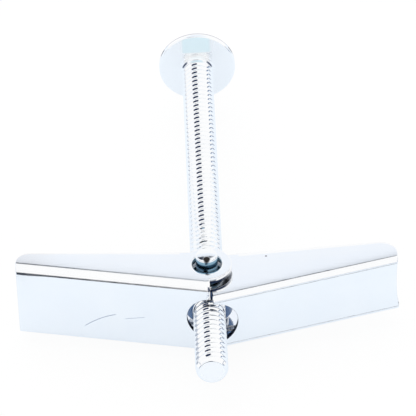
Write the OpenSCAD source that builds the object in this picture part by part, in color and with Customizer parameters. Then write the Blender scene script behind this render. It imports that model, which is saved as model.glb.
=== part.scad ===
// Spring toggle bolt: a machine screw with a low domed head, a trunnion nut on its thread,
// two nested sheet-metal wings hinged on the trunnions, and a torsion spring that opens them.
// Millimetres, +Z up. The screw lies along Y with its head at +Y, the trunnions stand along Z,
// and the open wings reach out along X. The origin is under the middle of the part.

/* [Screw] */
// Outside diameter of the thread
thread_d = 4.76; // [4.2:0.02:5.2]
// Distance from one turn of the thread to the next
thread_pitch = 1.058; // [0.95:0.001:1.2]
// Depth of the thread
thread_depth = 0.57; // [0.45:0.01:0.6]
// Length from the seat of the head to the end
screw_l = 74.2; // [70:0.2:90]
// Diameter of the head
head_d = 11.7; // [10:0.1:13]
// Height of the head from its seat to its crown
head_h = 2.8; // [2.4:0.1:3.4]
// Height of the straight rim of the head
rim_h = 1; // [0.8:0.05:1.3]
// Rounding of the rim at the seat
rim_round = 0.15; // [0.1:0.05:0.5]
// How much the neck under the head is thicker than the thread, on each side
neck_step = 0.1; // [0.05:0.01:0.25]
// Length of the neck under the head
neck_l = 1.2; // [0.8:0.1:2]
// Radial drop of the chamfer at the end
point_drop = 0.45; // [0.3:0.05:0.7]
// Length of the chamfer at the end
point_l = 0.6; // [0.4:0.05:1]

/* [Drive] */
// Width of the slot across the head
slot_w = 1.2; // [1:0.05:1.5]
// Depth of the slot under the crown
slot_depth = 1.2; // [0.9:0.05:1.5]
// Width of each arm of the cross recess
cross_w = 1.3; // [1.1:0.05:1.6]
// Span of the cross recess at the crown
cross_d = 4.8; // [4:0.1:5.4]
// Span of the cross recess at its floor
cross_floor_d = 1.8; // [1.4:0.1:2.4]
// Depth of the cross recess under the crown
cross_depth = 2.1; // [1.7:0.05:2.3]

/* [Nut] */
// Distance from the seat of the head to the pivot axis of the wings
pivot_from_seat = 57.1; // [45:0.1:58]
// Wall of the barrel beside the thread
barrel_wall = 1.1; // [0.8:0.05:1.3]
// Wall of the barrel under the thread
under_wall = 0.12; // [0.1:0.01:0.25]
// How much the spring seat is thicker than the trunnion, on each side
seat_step = 0.6; // [0.3:0.05:0.65]
// Chamfer at the ends of the barrel
barrel_chamfer = 0.3; // [0.15:0.05:0.5]
// Play between the screw and the threaded hole, on each side
thread_play = 0.06; // [0.02:0.01:0.1]
// Diameter of the trunnions
trunnion_d = 3.2; // [2.8:0.1:3.6]
// How far each trunnion stands out of the outer wing
trunnion_out = 1.55; // [1:0.05:2.2]
// Rounding at the ends of the trunnions
trunnion_round = 0.25; // [0.15:0.05:0.6]

/* [Spring] */
// Diameter of the spring wire
wire_d = 0.45; // [0.41:0.01:0.5]
// Step from one turn of the coil to the next
coil_step = 0.4; // [0.34:0.01:0.4]
// Gap between the coil and what lies beside it
coil_gap = 0.2; // [0.1:0.02:0.3]
// Distance along the wing at which a leg of the spring bears on the web
leg_reach = 11; // [8:0.5:14]
// Gap between a leg of the spring and the web it bears on
leg_gap = 0.05; // [0.02:0.01:0.1]

/* [Wings] */
// Thickness of the sheet
sheet_t = 0.95; // [0.8:0.05:1.1]
// Outside radius of the bends
bend_r = 1.2; // [1.1:0.05:1.4]
// Distance from the pivot axis to the tip of a wing
reach = 27.9; // [24:0.1:29]
// Angle of the web of the outer wing to the span of the wings
outer_slope = 13.25; // [12:0.25:14]
// Angle of the web of the inner wing to the span of the wings
inner_slope = 15.15; // [14:0.05:16.5]
// Angle by which the edge of the open outer wing leans towards the head
outer_lean = 4; // [3:0.1:5]
// Angle by which the edge of the open inner wing leans towards the head
inner_lean = 3.2; // [2.5:0.1:4.5]
// Distance from the pivot axis to the edge of the outer wing
outer_edge = 2.7; // [2.5:0.05:3.2]
// Distance from the pivot axis to the edge of the inner wing
inner_edge = 3.65; // [3.2:0.05:3.9]
// Distance from the pivot axis at which the edge of the inner wing begins
inner_edge_start = 1.5; // [1.4:0.05:2]
// How much deeper the web of the inner wing lies than the web of the outer wing
web_step = 1.43; // [1:0.01:1.6]
// Distance from the pivot axis to the end of the web of the outer wing, towards its own tip
outer_web_end = 0.05; // [-0.3:0.05:0.3]
// Distance from the pivot axis to the end of the web of the inner wing, towards its own tip
inner_web_end = 0.6; // [0.5:0.05:1.2]
// Rounding of the flange corners at the tip of the outer wing
outer_corner_r = 2; // [1.2:0.05:2.1]
// Rounding of the flange corners at the tip of the inner wing
inner_corner_r = 2.6; // [1.6:0.05:2.8]

/* [Hinge and hole] */
// Play of the trunnions in the wings, on each side
pivot_play = 0.55; // [0.2:0.05:0.6]
// Play left on the side towards the head, where the trunnions bear
bear_play = 0.2; // [0.1:0.05:0.3]
// Chamfer that the punch leaves round the pivot holes, on their outside
pivot_rim = 0.2; // [0.1:0.02:0.3]
// Width of the sheet round the pivot hole of the outer wing
outer_ear_w = 1.5; // [1.3:0.05:1.7]
// Width of the sheet round the pivot hole of the inner wing
inner_ear_w = 1.55; // [1.3:0.05:1.8]
// Gap between the ears of the inner wing and the web of the outer wing
ear_gap = 0.4; // [0.3:0.05:0.6]
// Gap between the flanges of the inner and the outer wing
nest_gap = 0.56; // [0.3:0.02:0.7]
// Gap between the nut and the flanges of the inner wing
side_play = 0.08; // [0.06:0.01:0.15]
// Play of the screw in the hole of the webs, on each side
screw_play = 1.3; // [1:0.05:1.4]
// Sideways shift of the hole of the webs
hole_shift = 0.45; // [0:0.05:0.5]

/* [Hidden] */
$fn = 96;
// Overrun of cuts and joins, a share of the sheet
overrun_share = 0.5;
overrun = sheet_t * overrun_share;

thread_r = thread_d / 2;
root_r = thread_r - thread_depth;
head_r = head_d / 2;
wire_r = wire_d / 2;
trunnion_r = trunnion_d / 2;

// Width of the crests and of the roots of the thread, shares of its pitch
crest_share = 0.125;
root_share = 0.25;
crest_w = thread_pitch * crest_share;
root_w = thread_pitch * root_share;
flank_w = (thread_pitch - crest_w - root_w) / 2;
grooves = floor((screw_l - neck_l - point_l - crest_w) / thread_pitch);

// Stack from the screw axis outwards to the flanges
barrel_low = thread_r + under_wall;
coil_h = wire_d + 2 * coil_step;
inner_clear = barrel_low + coil_h + 2 * side_play;
body_half = inner_clear - side_play;
inner_half = inner_clear + sheet_t;
outer_half = inner_half + nest_gap + sheet_t;
trunnion_half = outer_half + trunnion_out;

// Plan of the hinge
barrel_r = thread_r + barrel_wall;
pivot_r = trunnion_r + pivot_play;
nut_set = pivot_play - bear_play;
outer_ear_r = pivot_r + outer_ear_w;
inner_ear_r = pivot_r + inner_ear_w;
outer_web_drop = (inner_ear_r + ear_gap + sheet_t) / cos(outer_slope);
inner_web_drop = outer_web_drop + web_step;
hole_r = thread_r + screw_play;

// Coil under the barrel
seat_r = trunnion_r + seat_step;
coil_r = seat_r + coil_gap + wire_r;
coil_top = -barrel_low - side_play - wire_r;

// Places in the frame of the part
total_l = screw_l + head_h;
seat_y = total_l / 2 - head_h;
pivot_y = seat_y - pivot_from_seat;
nut_y = pivot_y + nut_set;
axis_z = trunnion_half;
dome_h = head_h - rim_h;
dome_r = (head_r * head_r + dome_h * dome_h) / (2 * dome_h);

// Puts a piece made along +Z round the origin onto the screw axis, at its seat
module on_screw() {
    translate([0, seat_y, axis_z])
        rotate([-90, 0, 0])
            children();
}

// Puts a piece made round the pivot axis of the wings into its place
module on_pivot() {
    translate([0, pivot_y, axis_z])
        children();
}

// Puts a piece made round the trunnions, which bear on the side towards the head, into its place
module on_nut() {
    translate([0, nut_y, axis_z])
        children();
}

// Half profile of a round bar whose far end is rounded
module rounded_bar(r, l, edge_r) {
    square([r - edge_r, l]);
    square([r, l - edge_r]);
    translate([r - edge_r, l - edge_r])
        circle(edge_r);
}

// Low dome over a straight rim, rounded at the seat
module head() {
    intersection() {
        translate([0, 0, head_h])
            mirror([0, 0, 1])
                rotate_extrude()
                    rounded_bar(head_r, head_h, rim_round);
        translate([0, 0, head_h - dome_r])
            sphere(dome_r);
    }
}

// Half profile of one groove of the thread, downwards from the edge of a crest at height z
function groove(z) = [
    [thread_r, z],
    [root_r, z - flank_w],
    [root_r, z - flank_w - root_w],
    [thread_r, z - 2 * flank_w - root_w]
];

// Shank with a chamfered end, its thread drawn as one ring groove for each turn
module shank() {
    first_z = -neck_l - crest_w;
    rotate_extrude()
        polygon(concat(
            [[0, 0], [thread_r, 0]],
            [for (turn = [0 : grooves - 1]) each groove(first_z - turn * thread_pitch)],
            [[thread_r, point_l - screw_l], [thread_r - point_drop, -screw_l], [0, -screw_l]]
        ));
}

// Slot and cross recess sunk into the crown
module drive() {
    translate([0, 0, head_h + overrun - (slot_depth + overrun) / 2])
        cube([head_d + overrun, slot_w, slot_depth + overrun], center = true);
    intersection() {
        translate([0, 0, head_h - cross_depth])
            cylinder(h = cross_depth, d1 = cross_floor_d, d2 = cross_d);
        for (turn = [0, 90])
            rotate([0, 0, turn])
                translate([0, 0, head_h])
                    cube([cross_d, cross_w, 2 * cross_depth], center = true);
    }
}

module screw() {
    color("#dce3ea")
        on_screw()
            difference() {
                union() {
                    head();
                    translate([0, 0, -neck_l])
                        cylinder(h = neck_l + overrun, r = thread_r + neck_step);
                    shank();
                }
                drive();
            }
}

// One trunnion, from the middle of the nut to its rounded end
module trunnion() {
    rotate_extrude()
        rounded_bar(trunnion_r, trunnion_half, trunnion_round);
}

// Barrel over the spring seat, chamfered at both ends
module barrel() {
    rotate_extrude()
        polygon([
            [0, -body_half],
            [seat_r, -body_half],
            [seat_r, -barrel_low],
            [barrel_r - barrel_chamfer, -barrel_low],
            [barrel_r, barrel_chamfer - barrel_low],
            [barrel_r, body_half - barrel_chamfer],
            [barrel_r - barrel_chamfer, body_half],
            [0, body_half]
        ]);
}

module trunnion_nut() {
    color("#c3cbd4")
        on_nut()
            difference() {
                union() {
                    barrel();
                    trunnion();
                    mirror([0, 0, 1])
                        trunnion();
                }
                rotate([90, 0, 0])
                    cylinder(h = 2 * (barrel_r + overrun), r = thread_r + thread_play, center = true);
            }
}

// Filled section of a channel, with its back on Y and both back corners rounded
module channel_fill(half, depth, r) {
    translate([r, -half])
        square([depth - r, 2 * half]);
    translate([0, r - half])
        square([depth, 2 * (half - r)]);
    for (side = [-1, 1])
        translate([r, side * (half - r)])
            circle(r);
}

// Folded sheet: a channel that runs along its sloping web, both ways from the pivot axis
module channel(half, drop, slope, depth) {
    run = reach + depth;
    translate([0, -drop, 0])
        rotate([90, 0, 90 + slope])
            translate([0, 0, -depth])
                linear_extrude(run + depth)
                    difference() {
                        channel_fill(half, depth, bend_r);
                        translate([sheet_t, 0])
                            channel_fill(half - sheet_t, depth, bend_r - sheet_t);
                    }
}

// Sliver outside the rounded corner of a flange at the tip
module tip_corner(edge, lean, r) {
    mid = [reach - r, edge + (reach - r) * tan(lean) - r / cos(lean)];
    out = r + overrun;
    difference() {
        polygon([
            mid,
            mid + out * [-sin(lean), cos(lean)],
            mid + [out, out],
            mid + [out, 0]
        ]);
        translate(mid)
            circle(r);
    }
}

// Plan of the blade of a wing that reaches out along +X, from its hinge end to its tip
module blade_plan(edge, lean, edge_start, drop, slope, web_end, corner_r) {
    difference() {
        polygon([
            [edge_start, edge + edge_start * tan(lean)],
            [reach, edge + reach * tan(lean)],
            [reach, reach * tan(slope) - drop],
            [web_end, web_end * tan(slope) - drop],
            [web_end, 0]
        ]);
        tip_corner(edge, lean, corner_r);
    }
}

// Pivot holes through both flanges, chamfered on the outside
module pivot_holes(half) {
    cylinder(h = 2 * (half + overrun), r = pivot_r, center = true);
    for (side = [0, 1])
        mirror([0, 0, side])
            translate([0, 0, half - pivot_rim])
                cylinder(h = 2 * pivot_rim, r1 = pivot_r, r2 = pivot_r + 2 * pivot_rim);
}

// Wing that reaches out along +X: folded channel cut to its blade and its round ear about the
// pivot axis, with the pivot holes and its half of the screw hole
module wing(half, edge, lean, edge_start, drop, slope, web_end, ear_r, corner_r, shift) {
    depth = drop + edge + ear_r;
    cut_h = 2 * (half + overrun);
    difference() {
        intersection() {
            channel(half, drop, slope, depth);
            union() {
                cylinder(h = cut_h, r = ear_r, center = true);
                linear_extrude(cut_h, center = true)
                    blade_plan(edge, lean, edge_start, drop, slope, web_end, corner_r);
            }
        }
        pivot_holes(half);
        translate([shift, 0, 0])
            rotate([90, 0, 0])
                cylinder(h = drop + overrun, r = hole_r);
    }
}

module left_wing() {
    color("#d9e3ee")
        on_pivot()
            mirror([1, 0, 0])
                wing(outer_half, outer_edge, outer_lean, outer_web_end, outer_web_drop, outer_slope,
                     outer_web_end, outer_ear_r, outer_corner_r, -hole_shift);
}

module right_wing() {
    color("#d5dfeb")
        on_pivot()
            wing(inner_half, inner_edge, inner_lean, inner_edge_start, inner_web_drop, inner_slope,
                 inner_web_end, inner_ear_r, inner_corner_r, hole_shift);
}

// One closed turn of the coil, as two half rings
module coil_turn() {
    for (half_turn = [0, 180])
        rotate([0, 0, half_turn])
            rotate_extrude(angle = 180)
                translate([coil_r, 0])
                    circle(wire_r, $fn = 24);
}

// One turn of the coil and the leg that leaves it, bearing on the web of a wing along +X
module turn_and_leg(drop, slope) {
    bear_y = leg_reach * tan(slope) - drop + (sheet_t + leg_gap + wire_r) / cos(slope);
    away = norm([leg_reach, bear_y]);
    leg_turn = atan2(bear_y, leg_reach) + asin(coil_r / away);
    leg_l = sqrt(away * away - coil_r * coil_r);
    rotate([0, 0, leg_turn]) {
        rotate([0, 0, 90])
            coil_turn();
        translate([0, -coil_r, 0])
            rotate([0, 90, 0])
                cylinder(h = leg_l, r = wire_r, $fn = 24);
    }
}

module torsion_spring() {
    color("#aeb6bf")
        on_nut() {
            translate([0, 0, coil_top])
                mirror([1, 0, 0])
                    turn_and_leg(outer_web_drop + nut_set, outer_slope);
            translate([0, 0, coil_top - coil_step])
                coil_turn();
            translate([0, 0, coil_top - 2 * coil_step])
                turn_and_leg(inner_web_drop + nut_set, inner_slope);
        }
}

screw();
trunnion_nut();
left_wing();
right_wing();
torsion_spring();
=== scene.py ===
import math
from functools import reduce

import bpy
import numpy as np
from mathutils import Matrix, Vector


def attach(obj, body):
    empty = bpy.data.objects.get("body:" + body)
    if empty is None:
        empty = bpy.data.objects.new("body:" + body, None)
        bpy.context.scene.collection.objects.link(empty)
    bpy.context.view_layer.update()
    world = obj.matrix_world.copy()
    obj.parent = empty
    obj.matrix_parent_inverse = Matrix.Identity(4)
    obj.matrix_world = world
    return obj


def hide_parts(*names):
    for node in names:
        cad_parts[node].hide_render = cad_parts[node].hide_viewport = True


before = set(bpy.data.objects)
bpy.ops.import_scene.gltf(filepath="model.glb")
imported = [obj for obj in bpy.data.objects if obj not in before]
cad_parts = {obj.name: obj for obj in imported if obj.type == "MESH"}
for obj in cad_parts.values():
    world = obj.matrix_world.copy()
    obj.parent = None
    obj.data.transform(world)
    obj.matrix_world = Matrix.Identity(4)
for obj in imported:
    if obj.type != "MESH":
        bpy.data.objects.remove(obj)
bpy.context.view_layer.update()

# Sizes of the part, in millimetres
MM = 0.001

# Nut: barrel with its bore, seat of the spring, and domed trunnions
BARREL_R, BARREL_LOW, BODY_HALF, BARREL_CHAMFER = 3.48, 2.5, 3.83, 0.3
SEAT_R, BORE_R, BORE_HALF, STEP_SOFT = 2.2, 2.44, 5.0, 0.06
TRUNNION_R, TRUNNION_HALF, TRUNNION_ROUND, TRUNNION_DOME, TRUNNION_TURN = 1.6, 7.92, 0.25, 0.12, 80

# Places: seat of the head, pivots of the wings, nut a little behind them, and axis of the screw
SEAT_Y, PIVOT_Y, NUT_SET, AXIS_Z = 35.7, -21.4, 0.35, TRUNNION_HALF
NUT_Y = PIVOT_Y + NUT_SET

# Screw: thread, how it fades out at both ends, head, neck and point
THREAD_R, PITCH, SCREW_L = 2.38, 1.0583, 74.2
GROOVE, CREST_HALF, CREST_ROUND = 0.573, 0.03, 0.21
FLANK_START, ROOT_START = 0.03, 0.04
POINT_FADE, NECK_FADE, PLAIN_TOP, NECK_LAP = 1.3, 1.0, 0.15, 0.1
HEAD_R, HEAD_H, RIM_H, RIM_ROUND = 5.85, 2.8, 1.0, 0.15
RIM_TOP, BROW_ROUND, BROW_DROP, BROW_TURN, CROWN_TURN = 0.2, 0.15, 0.1, 60, 2.2
DOME_H = HEAD_H - RIM_H
DOME_R = (HEAD_R ** 2 + DOME_H ** 2) / (2 * DOME_H)
NECK_R, NECK_L, NECK_ROUND, NECK_FILLET = 2.48, 1.2, 0.15, 0.05
NECK_FLAT, NECK_ROWS, SEAT_ROWS = 0.5, (0.02, 0.01), (0.4, 0.2)
POINT_DROP, POINT_L, POINT_LIP = 0.45, 0.6, 0.14
NECK_Y, RIM_Y, TIP_Y = SEAT_Y - NECK_L, SEAT_Y + RIM_H, SEAT_Y - SCREW_L

# Drive recess: a slot and a cross with sides that lean in, and the overrun of their cutters
SLOT_W, SLOT_DEPTH, SLOT_LEAN = 1.2, 1.2, 0.05
CROSS_W, CROSS_D, CROSS_FLOOR_D, CROSS_DEPTH, CROSS_LEAN = 1.3, 4.8, 1.8, 2.1, 0.12
CUT_OVER, SLOT_OVER = 0.4, 1.0

# Spring: wire, coil under the barrel, and legs that bear on the webs
WIRE_R, COIL_R, COIL_TOP, COIL_LOW, COIL_TURNS = 0.2, 2.625, -2.805, -3.605, 2
LEG_REACH, LEG_GAP, LEG_OUT = 11.0, 0.05, 0.24
LEG_R = COIL_R + LEG_OUT

# Wings: sheet, sweep of the flanges into their bends, pivot holes, sheared edges and screw hole
SHEET_T, REACH, LEAST_BEND = 0.95, 27.9, 0.03
SWEEP, SWEEP_DIP = 2.5, 0.0875
PIVOT_R, PIVOT_EDGE, CUT_EDGE = 2.15, 0.2, 0.11
HOLE_R, HOLE_PAST, WEB_MARGIN, WEB_ROW = 3.68, 0.6, 0.4, 0.3
EAR_STEP, LEAST_FLANGE, EVEN_SHARE = 0.05, 0.02, 0.3
OUTER = dict(half=6.37, edge=2.7, lean=4.0, edge_start=None, drop=5.1882, slope=13.25,
             web_end=-0.3, ear_r=3.65, corner_r=2.0, shift=-0.45, hollow=0.0, bend_r=1.2)
INNER = dict(half=4.86, edge=3.65, lean=3.2, edge_start=1.5, drop=6.6182, slope=15.15,
             web_end=0.6, ear_r=3.7, corner_r=2.6, shift=0.45, hollow=0.3, bend_r=0.8)

# Sheared edges, their dark partly the rough cut and partly painted shade of the gaps: shares of dark across
# the rim, where the pale lip ends, and shares along the outline
RIM_SHARES = [0.2, 1, 1, 1, 1, 1, 1, 0.2]
LIP_SHARE, LIP_END_SHARE, LIP_DARK_SHARE = 0.55, 0.04, 0.04
PIVOT_SHARE, BACK_SHARE, WEB_SHARE, INSIDE_SHADE_SHARE = 0.3, 0.1, 0.12, 0.6
EAR_FRONT, EAR_FADE, INSIDE_REACH, INSIDE_ROWS = 0.6, 2.2, 1.2, (0.1, 0.02)
NEAR_FLANGE, NEAR_HOLE, NEAR_PIVOT = 0.2, 0.25, 0.1

# Meshes: sides, rows and steps, limits of welds and mitres, and the angles from which edges stay sharp
SHANK_SIDES, HEAD_SIDES, NUT_SIDES, WIRE_SIDES, COIL_STEPS, LEG_STEPS = 72, 128, 112, 14, 193, 24
BEND_ROWS, WEB_ROWS, NEAR_ROWS, BLADE_ROWS, EAR_STEPS, EDGE_STEPS = 15, 14, 11, 41, 60, 8
WELD, WELD_SHIFT, TOUCH, TINY, MOST_MITRE = 1e-4, 0.37, 1e-3, 1e-12, 1.5
SHEET_SHARP, THREAD_SHARP, CUT_SHARP = 35.0, 60.0, 28.0

# Plates: pale colour, tint, roughness, stretch of the drawn lines, and place in the drift of the colour
SCREW_ZINC = dict(pale=(0.985, 0.99, 0.993), tint=(0.965, 0.975, 0.988), rough=0.045,
                  grain=(900, 4000, 900), seed=1.0)
NUT_ZINC = dict(pale=(0.97, 0.98, 0.99), tint=(0.93, 0.955, 0.98), rough=0.11,
                grain=(3000, 3000, 400), seed=2.0)
WING_ZINC = dict(pale=(0.985, 0.988, 0.992), tint=(0.96, 0.97, 0.985), rough=0.11,
                 grain=(250, 3000, 3000), seed=3.0)
BARE_WIRE = dict(pale=(0.62, 0.64, 0.68), tint=(0.52, 0.55, 0.60), rough=0.25,
                 grain=(1500, 1500, 1500), seed=4.0)
DRIFT_SCALE, DRIFT_DETAIL, LINE_DETAIL, NOISE_LOW, NOISE_HIGH = 160.0, 3.0, 4.0, 0.3, 0.7
SEED_SHARES, ROUGH_SPREAD, LINE_STRENGTH, LINE_DEPTH = (1, 0.7, 1.3), 0.3, 0.04, 0.00005

# Marks on the plates, some of them painted light and shade: colour, roughness and strength
# Painted shade: a warm darkening of the reflection towards the left wing's tip
TIP_SHADE = (0.86, 0.84, 0.83), 0.14, 0.5
LONG_SCRATCH = (0.40, 0.45, 0.54), 0.3, 1.0
FINE_SCRATCH = (0.50, 0.55, 0.64), 0.3, 1.0
DARK_SPECK = (0.12, 0.12, 0.16), 0.5, 1.0
# Dark of the sheared edges: partly the rough cut, partly painted shade of the gaps between the parts
SHEARED_EDGE_AND_SHADE = (0.012, 0.024, 0.06), 0.3, 1.0
SATIN_SEAT = (0.99, 0.995, 1.0), 0.26, 1.0
# Painted reflection: a faint blue diffuse patch on the seat above the neck
SEAT_REFLECTION = (0.79, 0.94, 1.0), 0.4, 1.0
# Painted highlight: a pale diffuse film over the top of the neck
NECK_HIGHLIGHT = (0.98, 0.99, 1.0), 0.3, 0.9
# Painted reflections: dark strokes at the ends of the thread beside the neck
THREAD_END_REFLECTION = (0.02, 0.05, 0.13), 0.25, 0.9
END_FILM = (0.98, 0.985, 1.0), 0.3, 0.4
# Painted shade: a dark line along the underside of the point's lip
POINT_SHADE_LINE = (0.14, 0.18, 0.28), 0.25, 0.8
ROLLED_LINE = (0.36, 0.36, 0.46), 0.25, 0.8
RIM_NICK = (0.03, 0.03, 0.07), 0.3, 1.0
# Painted shade in the drive recess, with a rougher finish
RECESS_SHADE = (0.36, 0.39, 0.44), 0.3, 1.0
# Painted shade on the nut: blue trunnion sides and body, and a darker barrel, in the pivot holes and between
# the wings
TRUNNION_SHADE = (0.24, 0.40, 0.52), 0.14, 1.0
BODY_SHADE = (0.26, 0.42, 0.56), 0.2, 1.0
BARREL_SHADE = (0.09, 0.15, 0.27), 0.2, 1.0
# Dark spot near the front of the upper trunnion's end
TRUNNION_DARK_SPOT = (0.035, 0.032, 0.032), 0.5, 1.0

# Limits of the marks: from and to of a ramp, or low, high and softness of a band. A rise is above the axis
TIP_RAMP, TIP_RISE, BACK_RAMP = (-20.0, -27.5), (6.2, 6.3), (PIVOT_Y + 1.0, PIVOT_Y)
LONG_STROKE = dict(from_x=-18.2, to_x=-13.7, z_mid=6.2, climb=0.58, curve=-0.06, half_width=0.07)
FINE_STROKE = dict(from_x=-12.2, to_x=-9.5, z_mid=6.9, climb=0.22, curve=0.0, half_width=0.05)
STROKE_END, STROKE_OUTSIDE_SHARE, STROKE_INSIDE_SHARE = 0.3, 1.6, 0.4
SPECK, SPECK_RAMP, SPECK_RISE = (8.69, -18.39), (0.20, 0.08), (4.5, 4.6)
SEAT_BAND, SEAT_REFLECTION_RISE, SEAT_REFLECTION_BAND = (SEAT_Y - 0.03, SEAT_Y + 0.03, 0.02), (2.7, 3.1), (-2.2, 2.15, 0.3)
NECK_BAND, NECK_RISE, NECK_SIDES = (NECK_Y + 0.1, SEAT_Y - 0.06, 0.03), (0.0, 1.0), (-1.9, 1.9, 0.25)
THREAD_BAND, THREAD_RISE, THREAD_SIDE = (NECK_Y - 0.15, NECK_Y + 0.25, 0.04), (0.8, 1.1), (1.35, 1.7)
END_RAMP, END_OUT = (TIP_Y + 0.02, TIP_Y + 0.01), (1.85, 1.75)
POINT_BAND, POINT_RISE = (TIP_Y + 0.02, TIP_Y + POINT_LIP, 0.02), (-0.9, -1.5)
RIM_OUT, ROLLED_BAND = (HEAD_R - 0.4, HEAD_R - 0.3), (RIM_Y - 0.18, RIM_Y + 0.08, 0.03)
NICK_BAND, NICK_SIDE, NICK_RISE = (RIM_Y - 0.4, RIM_Y + 0.08, 0.05), (4.95, 5.5, 0.08), (1.0, 1.2)
RECESS_SINK, RECESS_RAMP, RECESS_OUT = (0.06, 0.4), (SEAT_Y + 0.5, SEAT_Y + 0.6), (5.7, 5.6)
NUT_SHADE_BANDS = [(TRUNNION_HALF - TRUNNION_DOME - TRUNNION_ROUND - 0.1, 0.08, TRUNNION_SHADE),
             (BODY_HALF + 0.3, 0.1, BODY_SHADE), (BODY_HALF - 0.15, 0.1, BARREL_SHADE)]
DARK_SPOT_PLACE, DARK_SPOT_RAMP = (0.0, NUT_Y - 1.15, AXIS_Z + TRUNNION_HALF - 0.25), (0.62, 0.42)

# Floor sheet: far edges and the steps of its front edge, and how the metal and the camera see it
FLOOR_FAR, FLOOR_RIGHT = 450, 75
FLOOR_FRONT = [(-FLOOR_FAR, -36), (-34.5, -36), (-34.5, -45), (10, -60), (28, -130), (FLOOR_RIGHT, -130)]
FLOOR_MATT, FLOOR_SHEEN, SHEEN_STRENGTH = (0.40, 0.43, 0.46, 1), (0.87, 0.93, 1.0, 1), 0.54
FLOOR_TRACE, GLOW_STRENGTH = (0.09, 0.09, 0.09, 1), 0.91

# What the metal sees: degrees round the front, up or over the top, and across from -1 to 1
SILL_LOW, SILL_BEND, SILL_RISE, SILL_EDGE = -2, 26.5, 2.5, (2, -2)
OPENING_SIDES, OPENING_RAMP, OPENING_PALER = (-33, 12, 2), (-25, -23.5), 0.6
CAMERA_SIDES, CAMERA_BAND = (-17, 6.5, 2), (-36, 43, 3)
BATTEN_START, BATTEN_END, BATTEN_SKEW = 46.5, 57, 50
BATTEN_FOOT, BATTEN_TOP, BATTEN_ENDS = (BATTEN_START - 1, BATTEN_START + 1), (1.5, -1.5), (-0.35, 0.35, 0.05)
BATTEN_LEFT, BATTEN_RIGHT, BATTEN_DEPTH, BATTEN_MORE = (-0.05, -0.085), (0.02, 0.05), 0.42, 0.56
SHADE_FOOT, SHADE_RIGHT, SHADE_DEPTH, SHADE_MORE = (42, BATTEN_START), (-0.02, 0.01), 0.07, 0.12
RIGHT_SILL, RIGHT_STEPS = -3, [((40, 46), 3), ((64, 67), 12)]
RIGHT_GAP, RIGHT_STRIPE = (12, 80, 2), (93, 112, 2)
LEFT_GAP, LEFT_SILL, LEFT_DEPTH = (-62, -36, 2), (-1, -5), 0.6
POST_SIDES, POST_TOP = (-80, -66, 2), (14, 10)
STRIP_TOP, STRIP_FOOT = (-1, 5), (37.2, 36.6)
WHITE, STRIP_BLUE, SIDE_BLUE = (1, 1, 1), (0.885, 0.932, 1.0), (0.085, 0.16, 0.31)
CAMERA_BLUE, OPENING_DARK = (0.006, 0.022, 0.075), (0.012, 0.02, 0.04)

# Lamp and camera, in metres, and the lens in millimetres
LAMP_SIZE, LAMP_POWER, LAMP_PLACE = 0.5, 0.35, (-0.1, 0.1, 0.6)
CAMERA_EYE = (0.0, -0.6216, 0.48692)
CAMERA_FORWARD = (0.000743, 0.792134, -0.610347)
CAMERA_UP = (0.048951, 0.609587, 0.791207)
SENSOR_W, LENS, CLIP_NEAR, CLIP_FAR = 36.0, 454.64, 0.01, 20.0


# Meshes from arrays

def grid_quads(rows, cols, start=0):
    """Quads between neighbouring rows and columns of a grid whose points are numbered row by row."""
    index = start + np.arange(rows * cols).reshape(rows, cols)
    return np.stack([index[:-1, :-1], index[:-1, 1:], index[1:, 1:], index[1:, :-1]], -1).reshape(-1, 4)


def weld(points, quads):
    """Points in the same cell of a very fine lattice become one. Returns the first of each group,
    its place in the old list, and the quads renumbered."""
    cell = np.floor(points / WELD + WELD_SHIFT).astype(np.int64)
    _, first, back = np.unique(cell, axis=0, return_index=True, return_inverse=True)
    return points[first], first, back.reshape(-1)[quads]


def split_quads(quads):
    """Quads with four different corners, and the triangles left of quads with one pair of equal corners."""
    equal = quads == np.roll(quads, -1, axis=1)
    whole = quads[equal.sum(1) == 0]
    short = quads[equal.sum(1) == 1]
    keep = ~equal[equal.sum(1) == 1]
    return whole, short[keep].reshape(-1, 3)


def new_mesh(name, points, faces):
    """Puts an array of points and lists of faces into a mesh."""
    mesh = bpy.data.meshes.new(name)
    mesh.from_pydata(points.tolist(), [], [f for part in faces for f in part.tolist()])
    return mesh


def new_object(name, data):
    """Links a new object to the scene."""
    obj = bpy.data.objects.new(name, data)
    bpy.context.scene.collection.objects.link(obj)
    return obj


def mesh_piece(name, mesh, material, body, slot, sharp):
    """Smooth shaded piece with its material and the body it moves with. The slot of its finish is not used.
    """
    mesh.validate()
    mesh.shade_smooth()
    mesh.set_sharp_from_angle(angle=math.radians(sharp))
    mesh.materials.clear()
    mesh.materials.append(material)
    obj = new_object(name, mesh)
    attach(obj, body)
    return obj


def piece(name, points, faces, material, body, slot, sharp=SHEET_SHARP):
    """Piece from points in millimetres and lists of faces."""
    return mesh_piece(name, new_mesh(name, points * MM, faces), material, body, slot, sharp)


def revolve(profile, sides):
    """Half profile (radius, height) carried round an axis: point = (r cos a, r sin a, h). The two ends
    of the profile lie on the axis, so the poles close when the points are welded."""
    angle = np.linspace(0, 2 * np.pi, sides + 1)
    r, h = np.array(profile).T
    x, y = r[:, None] * np.cos(angle), r[:, None] * np.sin(angle)
    points = np.stack([x, y, np.broadcast_to(h[:, None], x.shape)], -1).reshape(-1, 3)
    points, _, quads = weld(points, grid_quads(len(r), sides + 1)[:, ::-1])
    return points, split_quads(quads)


def arc(centre, radius, start, end, steps):
    """Points of a circular arc in a profile: centre + radius (cos a, sin a), with a in degrees."""
    a = np.radians(np.linspace(start, end, steps + 1))
    return np.stack([centre[0] + radius * np.cos(a), centre[1] + radius * np.sin(a)], -1)


def along_screw(points):
    """Turns points made along +Z from the seat of the head onto the screw axis, which runs along +Y."""
    x, y, z = points.T
    return np.stack([x, SEAT_Y + z, AXIS_Z - y], -1)


def at_nut(points):
    """Moves points made round the trunnions to the nut."""
    return points + np.array([0, NUT_Y, AXIS_Z])


def at_pivot(points):
    """Moves points made round the pivot holes to the wings, whose axis lies just in front of the nut's."""
    return points + np.array([0, PIVOT_Y, AXIS_Z])


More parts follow.
